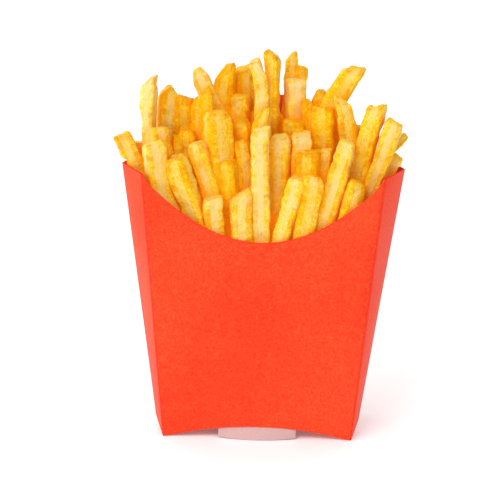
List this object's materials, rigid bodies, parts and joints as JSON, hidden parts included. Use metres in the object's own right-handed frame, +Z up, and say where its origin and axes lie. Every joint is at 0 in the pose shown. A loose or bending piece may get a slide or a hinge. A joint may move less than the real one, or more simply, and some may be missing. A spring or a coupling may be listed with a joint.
{
  "type": "french fries in a carton",
  "caption": "Takeaway french fries standing upright in a plain red folded paperboard scoop carton with a dipped front, side gussets and a taller rounded back.",
  "frame": {"origin": "on the ground under the middle of the carton", "axes": "+Z up; -Y towards the viewer of the dipped front panel; +X to the right as seen from the front"},
  "size_m": [0.1266, 0.0495, 0.17],
  "materials": {
    "paperboard": "matt coated red paperboard on both faces",
    "fried_potato": "crisp golden fried crust with a slight sheen of oil"
  },
  "bodies": {
    "root": {"carton": "paperboard", "fries": "fried_potato"}
  },
  "joints": []
}
